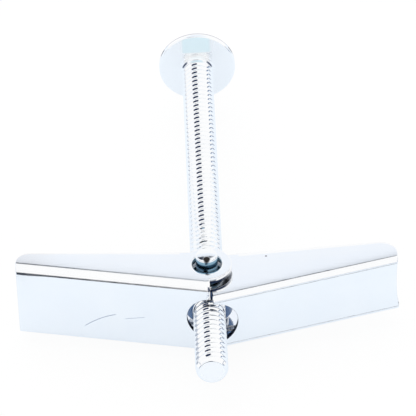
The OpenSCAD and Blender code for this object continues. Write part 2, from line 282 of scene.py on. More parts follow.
def cut_away(name, points, faces, cutters):
    """Subtracts closed cutters from a closed solid and returns the mesh that is left, in millimetres."""
    body = new_object(name, new_mesh(name, points, faces))
    tools = [new_object(name + "_tool", new_mesh(name + "_tool", p, f)) for p, f in cutters]
    for tool in tools:
        step = body.modifiers.new("cut", "BOOLEAN")
        step.operation = "DIFFERENCE"
        step.solver = "EXACT"
        step.object = tool
    bpy.context.view_layer.update()
    left = bpy.data.meshes.new_from_object(body.evaluated_get(bpy.context.evaluated_depsgraph_get()))
    for obj in [body] + tools:
        old = obj.data
        bpy.data.objects.remove(obj)
        bpy.data.meshes.remove(old)
    return left


def cut_piece(name, mesh, move, material, body, slot):
    """Piece from a cut mesh whose points are sent through move."""
    co = np.empty(len(mesh.vertices) * 3)
    mesh.vertices.foreach_get("co", co)
    mesh.vertices.foreach_set("co", (move(co.reshape(-1, 3)) * MM).ravel())
    mesh.name = name
    return mesh_piece(name, mesh, material, body, slot, CUT_SHARP)


# Materials

def node_tools(tree):
    """Short ways to add a node, with what its sockets and settings hold, and to link two sockets."""
    def add(kind, sockets=(), **settings):
        node = tree.nodes.new(kind)
        for key, value in settings.items():
            setattr(node, key, value)
        for key, value in dict(sockets).items():
            node.inputs[key].default_value = value
        return node

    def link(source, target):
        tree.links.new(source, target)
    return add, link


def math_tools(tree):
    """Math nodes as plain functions: calc joins sockets and numbers, ramp is a smooth step from low to high,
    between is 1 inside two limits, all_of is the product of masks, and distance is the root of the sum
    of squares."""
    add, link = node_tools(tree)

    def calc(operation, *values):
        node = add("ShaderNodeMath", operation=operation)
        for socket, value in zip(node.inputs, values):
            if isinstance(value, (int, float)):
                socket.default_value = value
            else:
                link(value, socket)
        return node.outputs[0]

    def ramp(value, low, high):
        node = add("ShaderNodeMapRange", {"From Min": low, "From Max": high}, interpolation_type="SMOOTHSTEP")
        link(value, node.inputs["Value"])
        return node.outputs["Result"]

    def between(value, low, high, soft):
        return calc("MULTIPLY", ramp(value, low - soft, low + soft), ramp(value, high + soft, high - soft))

    def all_of(*masks):
        return reduce(lambda a, b: calc("MULTIPLY", a, b), masks)

    def distance(*offsets):
        squares = [calc("MULTIPLY", offset, offset) for offset in offsets]
        return calc("SQRT", reduce(lambda a, b: calc("ADD", a, b), squares))
    return calc, ramp, between, all_of, distance


def place_mm(tree):
    """Object coordinates in millimetres, as three sockets."""
    add, link = node_tools(tree)
    place = add("ShaderNodeTexCoord")
    scale = add("ShaderNodeVectorMath", {"Scale": 1 / MM}, operation="SCALE")
    link(place.outputs["Object"], scale.inputs[0])
    axes = add("ShaderNodeSeparateXYZ")
    link(scale.outputs["Vector"], axes.inputs[0])
    return axes.outputs


def blend(tree, under, over, mask):
    """Mixes two colours, each a socket or plain numbers, as far as a mask goes from 0 to 1."""
    add, link = node_tools(tree)
    mix = add("ShaderNodeMix", data_type="RGBA")
    for socket, colour in ((mix.inputs[6], under), (mix.inputs[7], over)):
        if isinstance(colour, tuple):
            socket.default_value = (*colour, 1)
        else:
            link(colour, socket)
    link(mask, mix.inputs[0])
    return mix.outputs[2]


def plate(name, pale, tint, rough, grain, seed):
    """Bright metal: a pale colour that drifts to a tint over a few millimetres, and fine drawn lines along
    the stretched axis of grain, in roughness and in a slight relief."""
    material = bpy.data.materials.new(name)
    material.use_nodes = True
    tree = material.node_tree
    add, link = node_tools(tree)
    shader = tree.nodes["Principled BSDF"]
    shader.inputs["Metallic"].default_value = 1.0
    place = add("ShaderNodeTexCoord")
    shift = add("ShaderNodeMapping", {"Location": [seed * share for share in SEED_SHARES]})
    drift = add("ShaderNodeTexNoise", {"Scale": DRIFT_SCALE, "Detail": DRIFT_DETAIL})
    link(place.outputs["Object"], shift.inputs["Vector"])
    link(shift.outputs["Vector"], drift.inputs["Vector"])
    stretch = add("ShaderNodeMapping", {"Scale": grain})
    lines = add("ShaderNodeTexNoise", {"Scale": 1.0, "Detail": LINE_DETAIL})
    link(place.outputs["Object"], stretch.inputs["Vector"])
    link(stretch.outputs["Vector"], lines.inputs["Vector"])
    colour = add("ShaderNodeValToRGB")
    for stop, position, tone in zip(colour.color_ramp.elements, (NOISE_LOW, NOISE_HIGH), (tint, pale)):
        stop.position = position
        stop.color = (*tone, 1)
    link(drift.outputs["Fac"], colour.inputs["Fac"])
    link(colour.outputs["Color"], shader.inputs["Base Color"])
    least, most = rough * (1 - ROUGH_SPREAD), rough * (1 + ROUGH_SPREAD)
    gloss = add("ShaderNodeMapRange", {"From Min": NOISE_LOW, "From Max": NOISE_HIGH,
                                       "To Min": least, "To Max": most})
    link(lines.outputs["Fac"], gloss.inputs["Value"])
    link(gloss.outputs["Result"], shader.inputs["Roughness"])
    bump = add("ShaderNodeBump", {"Strength": LINE_STRENGTH, "Distance": LINE_DEPTH})
    link(lines.outputs["Fac"], bump.inputs["Height"])
    link(bump.outputs["Normal"], shader.inputs["Normal"])
    return material


def overlay(material, mask, colour, rough, strength, film=False):
    """Lays a colour and a roughness over a plate, as far as its mask goes from 0 to 1 times its strength.
    A film hides the metal."""
    tree = material.node_tree
    add, link = node_tools(tree)
    calc = math_tools(tree)[0]
    shader = tree.nodes["Principled BSDF"]
    base, gloss, metal = [shader.inputs[name] for name in ("Base Color", "Roughness", "Metallic")]
    mask = calc("MULTIPLY", mask, strength)
    link(blend(tree, base.links[0].from_socket, colour, mask), base)
    mix = add("ShaderNodeMix", {3: rough}, data_type="FLOAT")
    link(gloss.links[0].from_socket, mix.inputs[2])
    link(mask, mix.inputs[0])
    link(mix.outputs[0], gloss)
    if film:
        before = metal.links[0].from_socket if metal.is_linked else metal.default_value
        link(calc("MULTIPLY", before, calc("SUBTRACT", 1.0, mask)), metal)


def wing_finish():
    """Plate of the wings: dark sheared edges with a pale lip, their dark partly the rough cut and partly
    painted shade of the gaps between the parts, two scratches on the back of the left wing, painted shade at
    its tip, a warm darkening of its reflection, and a dark speck on the right wing."""
    material = plate("wing_plate", **WING_ZINC)
    tree = material.node_tree
    calc, ramp, between, all_of, distance = math_tools(tree)
    x, y, z = place_mm(tree)
    rise = calc("SUBTRACT", z, AXIS_Z)

    def scratch(from_x, to_x, z_mid, climb, curve, half_width):
        """Stroke on the back of a wing whose height is z_mid + climb (x - mid) + curve (x - mid)^2."""
        run = calc("SUBTRACT", x, (from_x + to_x) / 2)
        line = calc("ADD", z_mid, calc("ADD", all_of(run, climb), all_of(run, run, curve)))
        off = calc("ABSOLUTE", calc("SUBTRACT", z, line))
        edges = half_width * STROKE_OUTSIDE_SHARE, half_width * STROKE_INSIDE_SHARE
        return all_of(ramp(off, *edges), between(x, from_x, to_x, STROKE_END), ramp(y, *BACK_RAMP))

    # Painted shade: the reflection on the upper flange darkens warmly towards the left wing's tip
    overlay(material, all_of(ramp(x, *TIP_RAMP), ramp(rise, *TIP_RISE)), *TIP_SHADE)
    overlay(material, scratch(**LONG_STROKE), *LONG_SCRATCH)
    overlay(material, scratch(**FINE_STROKE), *FINE_SCRATCH)
    away = distance(*[calc("SUBTRACT", a, c) for a, c in zip((x, y), SPECK)])
    overlay(material, all_of(ramp(away, *SPECK_RAMP), ramp(rise, *SPECK_RISE)), *DARK_SPECK)
    add, _ = node_tools(tree)
    # Dark sheared edges, partly painted shade of the gaps between the parts
    sheared = add("ShaderNodeAttribute", attribute_name="cut")
    overlay(material, sheared.outputs["Fac"], *SHEARED_EDGE_AND_SHADE)
    return material


def screw_finish():
    """Plate of the screw: a satin seat with a painted reflection, a faint blue patch above the neck; a
    painted highlight, a pale film over the top of the neck, with painted dark reflections at the ends of the
    thread beside it; a pale end face with a line of painted shade under it; and a dark rolled line with two
    nicks round the edge of the head. The drive recess is duller, with painted shade."""
    material = plate("screw_plate", **SCREW_ZINC)
    tree = material.node_tree
    calc, ramp, between, all_of, distance = math_tools(tree)
    x, y, z = place_mm(tree)
    rise = calc("SUBTRACT", z, AXIS_Z)
    side = calc("ABSOLUTE", x)
    out = distance(x, rise)

    on_seat = between(y, *SEAT_BAND)
    overlay(material, on_seat, *SATIN_SEAT)
    # Painted reflection: a pale blue film on the seat above the neck, as wide as the shank
    seat_reflection = all_of(on_seat, ramp(rise, *SEAT_REFLECTION_RISE), between(x, *SEAT_REFLECTION_BAND))
    overlay(material, seat_reflection, *SEAT_REFLECTION, film=True)
    # Painted highlight over the upper side of the neck
    neck_highlight = all_of(between(y, *NECK_BAND), ramp(rise, *NECK_RISE), between(x, *NECK_SIDES))
    overlay(material, neck_highlight, *NECK_HIGHLIGHT, film=True)
    # Painted dark reflections on the upper sides where the thread ends at the neck
    thread_end_reflection = all_of(between(y, *THREAD_BAND), ramp(rise, *THREAD_RISE), ramp(side, *THREAD_SIDE))
    overlay(material, thread_end_reflection, *THREAD_END_REFLECTION)

    overlay(material, all_of(ramp(y, *END_RAMP), ramp(out, *END_OUT)), *END_FILM, film=True)
    # Painted shade under the point's lip
    overlay(material, all_of(between(y, *POINT_BAND), ramp(rise, *POINT_RISE)), *POINT_SHADE_LINE)

    on_rim = ramp(out, *RIM_OUT)
    overlay(material, all_of(on_rim, between(y, *ROLLED_BAND)), *ROLLED_LINE)
    nick = all_of(between(side, *NICK_SIDE), ramp(rise, *NICK_RISE), on_rim, between(y, *NICK_BAND))
    overlay(material, nick, *RIM_NICK)

    # Painted shade down in the drive recess
    crown = calc("SQRT", calc("SUBTRACT", DOME_R ** 2, calc("MULTIPLY", out, out)))
    sunk = calc("SUBTRACT", calc("ADD", crown, SEAT_Y + HEAD_H - DOME_R), y)
    recess = all_of(ramp(sunk, *RECESS_SINK), ramp(y, *RECESS_RAMP), ramp(out, *RECESS_OUT))
    overlay(material, recess, *RECESS_SHADE)
    return material


def nut_finish():
    """Plate of the nut: bright ends, and painted shade on the rest, blue sides and a darker blue barrel,
    where the nut sits in the pivot holes and between the wings; and a dark spot near the front of the upper
    trunnion's end."""
    material = plate("nut_plate", **NUT_ZINC)
    tree = material.node_tree
    calc, ramp, between, _, distance = math_tools(tree)
    place = place_mm(tree)
    rise = calc("SUBTRACT", place[2], AXIS_Z)
    # Painted shade in bands round the nut, darkest on the barrel
    for half, soft, finish in NUT_SHADE_BANDS:
        overlay(material, between(rise, -half, half, soft), *finish)
    # Dark spot near the front of the upper trunnion's end
    away = distance(*[calc("SUBTRACT", a, c) for a, c in zip(place, DARK_SPOT_PLACE)])
    overlay(material, ramp(away, *DARK_SPOT_RAMP), *TRUNNION_DARK_SPOT)
    return material


screw_plate = screw_finish()
nut_plate = nut_finish()
wing_plate = wing_finish()
spring_wire = plate("spring_wire", **BARE_WIRE)


# Wings

def slope_of(degrees):
    """Tangent and cosine of an angle in degrees."""
    return math.tan(math.radians(degrees)), math.cos(math.radians(degrees))


def section_rows(half, bend_r, notch_z):
    """Rows of a wing's section from the upper flange round to the lower one: quarter circles
    (q, z) = (r - r sin a, half - r + r cos a) at the bends, and flat rows on the web between them, which
    close up towards the notch. Returns q and z of the outer sheet, then of the inner one, whose bends are
    tighter by the thickness of the sheet, but never quite sharp."""
    turn = np.linspace(0, np.pi / 2, BEND_ROWS)
    web_half = half - bend_r
    closing = np.sin(np.linspace(np.pi / 2, 0, WEB_ROWS))
    if notch_z < web_half - WEB_MARGIN:
        web_z = np.concatenate([[web_half - WEB_ROW], notch_z * closing[:-1]])
    else:
        web_z = web_half * closing[1:-1]
    web_z = np.concatenate([web_z, [0.0], -web_z[::-1]])
    rows = []
    for depth, r in ((0, bend_r), (SHEET_T, max(bend_r - SHEET_T, LEAST_BEND))):
        q = depth + r - r * np.sin(turn)
        z = half - depth - r + r * np.cos(turn)
        rows.append(np.concatenate([q, 0 * web_z + depth, q[::-1]]))
        rows.append(np.concatenate([z, web_z, -z[::-1]]))
    return rows


def ear_fan(outline, ring_r):
    """Rows from the ring of the pivot hole out to an outline: ring + share (outline - ring), where the
    spokes leave the ring at angles between those of the outline's points and even ones."""
    spoke = np.unwrap(np.arctan2(outline[:, 1], outline[:, 0]))
    even = np.linspace(spoke[0], spoke[0] + 2 * np.pi, len(spoke), endpoint=False)
    spoke = np.sort((1 - EVEN_SHARE) * spoke + EVEN_SHARE * even)
    ring = ring_r * np.stack([np.cos(spoke), np.sin(spoke)], -1)
    fan_shares = np.array([0, 0.1, 0.3, 0.55, 0.8, 0.94, 1.0])[:, None, None]
    fan = ring + (outline - ring) * fan_shares
    return np.concatenate([fan, fan[:, :1]], 1)


def wing_sheet(half, edge, lean, edge_start, drop, slope, web_end, ear_r, corner_r, shift, hollow,
               bend_r, side):
    """Folded sheet of a wing, made outwards along +X and mirrored for side -1. In the section at any x
    the back lies at q = 0 and y = -drop + x tan(slope) + q / cos(slope). Each flange is a flat grid between
    its bend line and its edge, which is a straight line, the round corner of the tip and the ear about
    the trunnion. The outline is drawn in by the rounding of its edges, and the rim brings it out again."""
    tan_s, cos_s = slope_of(slope)
    tan_l, cos_l = slope_of(lean)
    cut = CUT_EDGE
    ear = ear_r - cut
    ring_r = PIVOT_R + PIVOT_EDGE
    start_x = web_end + cut
    notch_r = HOLE_R + cut
    hinge_x = shift + notch_r + HOLE_PAST
    tip_x = REACH - cut
    edge_line = edge - cut / cos_l
    notch_z = math.sqrt(notch_r ** 2 - (start_x - shift) ** 2)

    def section_y(x, q):
        return -drop + x * tan_s + q / cos_s

    def edge_y(x):
        """Top edge of a flange: the leaning line, then the round corner of the tip."""
        r = corner_r - cut
        mid_x = tip_x - r
        line = edge_line + x * tan_l
        mid_y = edge_line + mid_x * tan_l - r / cos_l
        round_y = mid_y + np.sqrt(np.maximum(r * r - np.maximum(x - mid_x, 0) ** 2, 0))
        return np.where(x > mid_x, np.minimum(line, round_y), line)

    # Columns along the wing: the hinge end, then the blade, closer together towards the tip
    q_out, z_out, q_in, z_in = section_rows(half, bend_r, notch_z)
    from_x = np.full(len(z_out), start_x)
    inside = np.abs(z_out) < notch_z
    from_x[inside] = shift + np.sqrt(notch_r ** 2 - z_out[inside] ** 2)
    to_x = tip_x - hollow * np.clip(1 - (z_out / half) ** 2, 0, 1)
    near = np.linspace(0, 1, NEAR_ROWS)
    far = np.sin(np.linspace(0, np.pi / 2, BLADE_ROWS))
    x_near = from_x[:, None] + (hinge_x - from_x[:, None]) * near
    x_far = hinge_x + (to_x[:, None] - hinge_x) * far
    x = np.concatenate([x_near, x_far[:, 1:]], 1)

    def surface(q, z):
        y = section_y(x, q[:, None])
        return np.stack([x, y, np.broadcast_to(z[:, None], x.shape)], -1).reshape(-1, 3)

    outer, inner = [surface(q_out, z_out)], [surface(q_in, z_in)]
    quads = [grid_quads(*x.shape)]

    # Flange of the blade, up from the bend line
    flange_shares = np.array([0, 0.03, 0.1, 0.25, 0.45, 0.65, 0.82, 0.93, 1.0])
    low = section_y(x_far[0], bend_r)
    top = np.maximum(edge_y(x_far[0]), low + LEAST_FLANGE)
    blade_y = low + (top - low) * flange_shares[:, None]
    blade = np.stack([np.broadcast_to(x_far[0], blade_y.shape), blade_y], -1)

    # Outline of the hinge end, anticlockwise from the foot of the line where the blade begins
    right = np.stack([np.full(len(flange_shares), hinge_x), blade_y[:, 0]], -1)
    if edge_start is None:
        a, b, c = 1 + tan_l ** 2, 2 * tan_l * edge_line, edge_line ** 2 - ear ** 2
        join_x = (-b + math.sqrt(b * b - 4 * a * c)) / (2 * a)
        join = np.array([join_x, edge_y(np.array(join_x))])
        step = np.zeros((0, 2))
    else:
        join_x = edge_start + cut
        foot_x = join_x - EAR_STEP
        join = np.array([foot_x, math.sqrt(ear ** 2 - foot_x ** 2)])
        step = np.array([[join_x, edge_y(np.array(join_x))]])
    line_x = np.linspace(hinge_x, join_x, EDGE_STEPS)[1:-1]
    top_line = np.stack([line_x, edge_y(line_x)], -1)
    low_end = math.degrees(math.atan2(-math.sqrt(ear ** 2 - start_x ** 2), start_x)) + 360
    round_ear = arc((0, 0), ear, math.degrees(math.atan2(join[1], join[0])), low_end, EAR_STEPS)
    bend_line = np.stack([x_near[0], section_y(x_near[0], bend_r)], -1)
    ear_plan = ear_fan(np.concatenate([right, top_line, step, round_ear, bend_line[:-1]]), ring_r)

    # Both flanges, welded to the bends
    for sign in (1, -1):
        for plan in (blade, ear_plan):
            z = np.full(plan.shape[:2], sign * half)[..., None]
            start = sum(len(o) for o in outer)
            outer.append(np.concatenate([plan, z], -1).reshape(-1, 3))
            inner.append(np.concatenate([plan, z - sign * SHEET_T], -1).reshape(-1, 3))
            quads.append(grid_quads(*plan.shape[:2], start))
    outer, first, quads = weld(np.concatenate(outer), np.concatenate(quads))
    inner = np.concatenate(inner)[first]

    def swept(points):
        """Flanges run down into their bends: dip (1 - u)^2, with u the distance from the bend over the
        length of the sweep, and on along its tangent round the bend."""
        q = (points[:, 1] - section_y(points[:, 0], 0)) * cos_s
        u = np.minimum((q - bend_r) / SWEEP, 1)
        dip = np.where(u > 0, SWEEP_DIP * (1 - u) ** 2, SWEEP_DIP * (1 - 2 * u))
        bent = np.abs(points[:, 2]) > half - bend_r - TOUCH
        return points - np.where(bent, np.sign(points[:, 2]) * dip, 0)[:, None] * np.array([0, 0, 1])

    return sheet_shell(swept(outer), swept(inner), split_quads(quads), ring_r, side)


def facing_out(outer, inner, faces):
    """Turns the faces of the outer sheet away from the inner one, and returns them with their unit normals,
    the cross products of their diagonals."""
    edge_a, edge_b = outer[faces[:, 2]] - outer[faces[:, 0]], outer[faces[:, 3]] - outer[faces[:, 1]]
    edge_b = np.where((faces[:, 2] == faces[:, 3])[:, None], outer[faces[:, 2]] - outer[faces[:, 1]], edge_b)
    normal = np.cross(edge_a, edge_b)
    away = (outer - inner)[faces].mean(1)
    flip = (normal * away).sum(1) < 0
    faces[flip] = faces[flip][:, [0, 3, 2, 1]]
    normal[flip] *= -1
    return faces, normal / np.maximum(np.linalg.norm(normal, axis=1, keepdims=True), TINY)


def rim_edges(outer, faces, normal):
    """Edges used by one face only, as tails and heads, the points on them, and the mitred directions that
    lead out of the sheet there: along x normal, summed over both edges of a point."""
    tail, head = faces.ravel(), np.roll(faces, -1, axis=1).ravel()
    owner = np.repeat(np.arange(len(faces)), 4)
    real = tail != head
    tail, head, owner = tail[real], head[real], owner[real]
    key = np.minimum(tail, head) * len(outer) + np.maximum(tail, head)
    _, index, count = np.unique(key, return_inverse=True, return_counts=True)
    rim = count[index.reshape(-1)] == 1
    tail, head, owner = tail[rim], head[rim], owner[rim]
    out = np.cross(outer[head] - outer[tail], normal[owner])
    out /= np.maximum(np.linalg.norm(out, axis=1, keepdims=True), TINY)
    total = np.zeros_like(outer)
    np.add.at(total, tail, out)
    np.add.at(total, head, out)
    edge_of = np.unique(np.concatenate([tail, head]))
    size = np.maximum(np.linalg.norm(total[edge_of], axis=1, keepdims=True), TINY)
    return tail, head, edge_of, total[edge_of] / size * np.minimum(2 / size, MOST_MITRE)


def sheet_shell(outer, inner, parts, ring_r, side):
    """Closes an outer and an inner sheet of the same layout with a rim whose two edges are quarter rounds:
    centre + rounding (sin a out + cos a normal), from the outer sheet to the inner one. Two rows between
    them lie close together where the pale lip ends."""
    whole, short = parts
    faces = np.concatenate([whole, np.concatenate([short, short[:, -1:]], 1)])
    faces, normal = facing_out(outer, inner, faces)
    tail, head, edge_of, direction = rim_edges(outer, faces, normal)
    up = outer[edge_of] - inner[edge_of]
    up /= np.linalg.norm(up, axis=1, keepdims=True)
    at_ring = np.abs(np.hypot(outer[edge_of, 0], outer[edge_of, 1]) - ring_r) < TOUCH
    rounding = np.where(at_ring, PIVOT_EDGE, CUT_EDGE)[:, None]
    rows = []
    for a in np.radians([30, 60, 90]):
        rows.append(outer[edge_of] - rounding * up + rounding * (math.sin(a) * direction + math.cos(a) * up))
    for share in (LIP_SHARE - LIP_END_SHARE, LIP_SHARE + LIP_END_SHARE):
        depth = rounding + share * (SHEET_T - 2 * rounding)
        rows.append(outer[edge_of] - depth * up + rounding * direction)
    for a in np.radians([90, 60, 30]):
        rows.append(inner[edge_of] + rounding * up + rounding * (math.sin(a) * direction - math.cos(a) * up))

    # Strips of faces from row to row
    count = len(outer)
    points = np.concatenate([outer, inner] + rows)
    dark_share = np.concatenate([np.zeros(2 * count), np.repeat(RIM_SHARES, len(edge_of))])
    place = np.full(count, -1)
    place[edge_of] = np.arange(len(edge_of))
    between_sheets = [2 * count + k * len(edge_of) + place for k in range(len(rows))]
    levels = [np.arange(count), *between_sheets, count + np.arange(count)]
    sides = [np.stack([a[head], a[tail], b[tail], b[head]], -1) for a, b in zip(levels[:-1], levels[1:])]
    every = np.concatenate([faces, faces[:, ::-1] + count] + sides)
    if side < 0:
        points = points * np.array([-1, 1, 1])
        every = every[:, ::-1]
    return at_pivot(points), split_quads(every), dark_share


def sheared_and_shaded_dark(points, dark_share, shape, side):
    """Share of dark on each point, partly the rough sheared edge and partly painted shade of the gaps between
    the
    parts: full round the screw hole and at the front of the ears, less towards the back, round the pivot
    holes and on the rest of the web, and a trace on the pale lip. The inside of the left wing's ears is
    darker too, with painted shade where the right wing lies close to them."""
    half = shape["half"]
    height = np.abs(points[:, 2] - AXIS_Z)
    hole_off = np.hypot(points[:, 0] - side * shape["shift"], points[:, 2] - AXIS_Z)
    pivot_off = np.hypot(points[:, 0], points[:, 1] - PIVOT_Y)
    on_flange = height > half - SHEET_T - NEAR_FLANGE
    in_front = np.clip((PIVOT_Y - EAR_FRONT - points[:, 1]) / EAR_FADE, BACK_SHARE, 1)
    at_flange = np.where(pivot_off < PIVOT_R + NEAR_PIVOT, PIVOT_SHARE, in_front)
    at_web = np.where(hole_off < HOLE_R + NEAR_HOLE, 1, WEB_SHARE)
    dark_share = dark_share * np.where(on_flange, at_flange, at_web)
    lip = on_flange & (pivot_off > PIVOT_R + NEAR_PIVOT) & (height > half - LIP_SHARE * SHEET_T)
    dark_share = np.where(lip, LIP_DARK_SHARE, 1) * dark_share
    # Painted shade on the inside of the left wing's ears, where the right wing lies close under them
    inside = (height > half - SHEET_T - INSIDE_ROWS[0]) & (height < half - SHEET_T + INSIDE_ROWS[1])
    ear = np.clip(shape["ear_r"] + INSIDE_REACH - pivot_off, 0, INSIDE_SHADE_SHARE)
    return np.maximum(dark_share, inside * (side < 0) * ear)


def wing_piece(name, shape, side, body):
    """One wing, with the share of dark sheared edge and painted shade kept on its points for the plate."""
    points, faces, dark_share = wing_sheet(**shape, side=side)
    sheet = piece(name, points, faces, wing_plate, body, "wing_plate")
    dark_share = sheared_and_shaded_dark(points, dark_share, shape, side)
    sheet.data.attributes.new("cut", "FLOAT", "POINT").data.foreach_set("value", dark_share)
    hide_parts(body)


wing_piece("left_wing_sheet", OUTER, -1, "left_wing")
wing_piece("right_wing_sheet", INNER, 1, "right_wing")


# Screw

def thread_profile():
    """One turn of a rolled thread, from root to root: a narrow crest, round shoulders
    (c + r sin a, r - r cos a) up to the 60 degree flanks, and a narrow root. Returns places along the screw
    and depths under the crest."""
    steep = math.tan(math.radians(60))
    a = np.radians([0, 20, 40, 60])
    place = CREST_HALF + CREST_ROUND * np.sin(a)
    depth = CREST_ROUND * (1 - np.cos(a))
    flank = np.array([depth[-1] + FLANK_START, GROOVE - ROOT_START, GROOVE])
    place = np.concatenate([place, place[-1] + (flank - depth[-1]) / steep])
    depth = np.concatenate([depth, flank])
    return np.concatenate([-place[::-1], place]), np.concatenate([depth[::-1], depth])


def smooth(t):
    """Smooth step from 0 to 1."""
    t = np.clip(t, 0, 1)
    return t * t * (3 - 2 * t)


def turned(r, y, angle):
    """Grid round the axis of the screw: (r sin a, y, r cos a)."""
    return np.stack([r * np.sin(angle), y + 0 * r * angle, r * np.cos(angle)], -1)


def threaded_shank():
    """Right-hand thread: a point at angle a lies at (r sin a, y, r cos a) with y = y0 + pitch a / 2 pi, so
    the rows of the grid follow the helix, and each row keeps its depth in the thread's profile. Rows beyond
    an end are pressed onto it, where the groove has faded out, and are welded there. The point ends in a
    small round lip."""
    place, depth = thread_profile()
    top_y = NECK_Y + NECK_LAP
    turns = int(math.ceil((top_y - TIP_Y) / PITCH)) + 2
    row_y = (TIP_Y + PITCH * (np.arange(turns)[:, None] - 0.5) + place).ravel()
    row_depth = np.tile(depth, turns)
    angle = np.linspace(0, 2 * np.pi, SHANK_SIDES + 1)
    y = np.clip(row_y[:, None] + PITCH * angle / (2 * np.pi), TIP_Y + POINT_LIP, top_y)
    point = np.clip((y - TIP_Y) / POINT_L, 0, 1)
    outside = THREAD_R - POINT_DROP * (1 - point)
    fade = smooth((y - TIP_Y) / POINT_FADE) * smooth((top_y - PLAIN_TOP - y) / NECK_FADE)
    r = np.minimum(outside, THREAD_R - row_depth[:, None] * fade)

    # End face with its lip, and the hidden disc in the neck
    disc_shares = np.array([1.0, 0.93, 0.6, 0.3, 0.0])
    turn = np.linspace(0, np.pi / 2, 7)
    lip_r = THREAD_R - POINT_DROP * (1 - POINT_LIP / POINT_L) - POINT_LIP * (1 - np.cos(turn))
    lip_y = TIP_Y + POINT_LIP * (1 - np.sin(turn))
    end_r = np.concatenate([lip_r, lip_r[-1] * disc_shares[1:]])[:, None]
    end_y = np.concatenate([lip_y, np.full(len(disc_shares) - 1, TIP_Y)])[:, None]
    top_r = THREAD_R * disc_shares[:, None]
    grids = [turned(end_r, end_y, angle)[::-1], turned(r, y, angle), turned(top_r, top_y, angle)]
    starts = np.cumsum([0] + [g.shape[0] * g.shape[1] for g in grids])
    quads = np.concatenate([grid_quads(*g.shape[:2], s) for g, s in zip(grids, starts)])
    points, _, quads = weld(np.concatenate([g.reshape(-1, 3) for g in grids]), quads)
    return points + np.array([0, 0, AXIS_Z]), split_quads(quads)


shank = piece("screw_shank", *threaded_shank(), screw_plate, "screw", "screw_plate", THREAD_SHARP)


def head_solid():
    """Low domed head on its neck: a half profile of neck, small fillet, flat seat, rounded rim and a
    shallow arc over the crown, turned round the axis."""
    lean = math.degrees(math.asin(HEAD_R / DOME_R))
    seat_r = np.linspace(NECK_R + SEAT_ROWS[0], HEAD_R - RIM_ROUND - SEAT_ROWS[1], 5)
    profile = np.concatenate([
        [[0, -NECK_L], [NECK_R - NECK_FLAT, -NECK_L]],
        arc((NECK_R - NECK_ROUND, -NECK_L + NECK_ROUND), NECK_ROUND, -90, 0, 5),
        [[NECK_R, -NECK_L + NECK_ROUND + NECK_ROWS[0]], [NECK_R, -NECK_FILLET - NECK_ROWS[1]]],
        arc((NECK_R + NECK_FILLET, -NECK_FILLET), NECK_FILLET, 180, 90, 5),
        np.stack([seat_r, np.zeros_like(seat_r)], -1),
        arc((HEAD_R - RIM_ROUND, RIM_ROUND), RIM_ROUND, -90, 0, 7),
        [[HEAD_R, RIM_H - RIM_TOP]],
        arc((HEAD_R - BROW_ROUND, RIM_H - BROW_DROP), BROW_ROUND, 0, BROW_TURN, 4),
        arc((0, HEAD_H - DOME_R), DOME_R, 90 - lean + CROWN_TURN, 90, 14),
    ])
    profile[-1, 0] = 0
    return revolve(profile, HEAD_SIDES)


def tapered_block(top, floor, depth):
    """Cutter from over the crown down to a depth, whose top and floor are rectangles of half sizes (x, y)."""
    sign = np.array([[-1, -1], [1, -1], [1, 1], [-1, 1]])
    low, high = HEAD_H - depth, HEAD_H + CUT_OVER
    points = np.concatenate([np.c_[sign * floor, [low] * 4], np.c_[sign * top, [high] * 4]])
    faces = np.array([[0, 3, 2, 1], [4, 5, 6, 7], [0, 1, 5, 4], [1, 2, 6, 5], [2, 3, 7, 6], [3, 0, 4, 7]])
    return points, [faces]


def recess_cutters():
    """Cutters of the drive recess: a slot right across, and two arms of a cross that narrow to its floor."""
    slot_l = HEAD_R + SLOT_OVER
    arm_flare = (CROSS_D - CROSS_FLOOR_D) / 2 * (CUT_OVER / CROSS_DEPTH)
    arm_top, arm_floor = (CROSS_D / 2 + arm_flare, CROSS_W / 2), (CROSS_FLOOR_D / 2, CROSS_W / 2 - CROSS_LEAN)
    return [tapered_block((slot_l, SLOT_W / 2), (slot_l, SLOT_W / 2 - SLOT_LEAN), SLOT_DEPTH),
            tapered_block(arm_top, arm_floor, CROSS_DEPTH),
            tapered_block(arm_top[::-1], arm_floor[::-1], CROSS_DEPTH)]


head_mesh = cut_away("head", *head_solid(), recess_cutters())
screw_head = cut_piece("screw_head", head_mesh, along_screw, screw_plate, "screw", "screw_plate")
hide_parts("screw")
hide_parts("screw")


# Nut

def nut_solid():
    """Turned nut: a half profile of trunnion, spring seat, chamfered barrel and trunnion, with ends that are
    shallow domes and rounded edges, turned round the trunnion axis."""
    r, h, edge, soft = TRUNNION_R, TRUNNION_HALF, TRUNNION_ROUND, STEP_SOFT
    flat_r = r - edge
    dome = np.linspace(0, flat_r, 6)[:-1]
    dome = np.stack([dome, h - TRUNNION_DOME * (dome / flat_r) ** 2], -1)
    edge_h = h - TRUNNION_DOME - edge
    profile = np.concatenate([
        dome * np.array([1, -1]),
        arc((flat_r, -edge_h), edge, -TRUNNION_TURN, 0, 8),
        [[r, -BODY_HALF - soft]],
        [[r + soft, -BODY_HALF], [SEAT_R - soft, -BODY_HALF], [SEAT_R, -BODY_HALF + soft]],
        [[SEAT_R, -BARREL_LOW - soft], [SEAT_R + soft, -BARREL_LOW]],
        [[BARREL_R - BARREL_CHAMFER, -BARREL_LOW], [BARREL_R, BARREL_CHAMFER - BARREL_LOW]],
        [[BARREL_R, BODY_HALF - BARREL_CHAMFER], [BARREL_R - BARREL_CHAMFER, BODY_HALF]],
        [[r + soft, BODY_HALF], [r, BODY_HALF + soft]],
        arc((flat_r, edge_h), edge, 0, TRUNNION_TURN, 8),
        dome[::-1],
    ])
    return revolve(profile, NUT_SIDES)


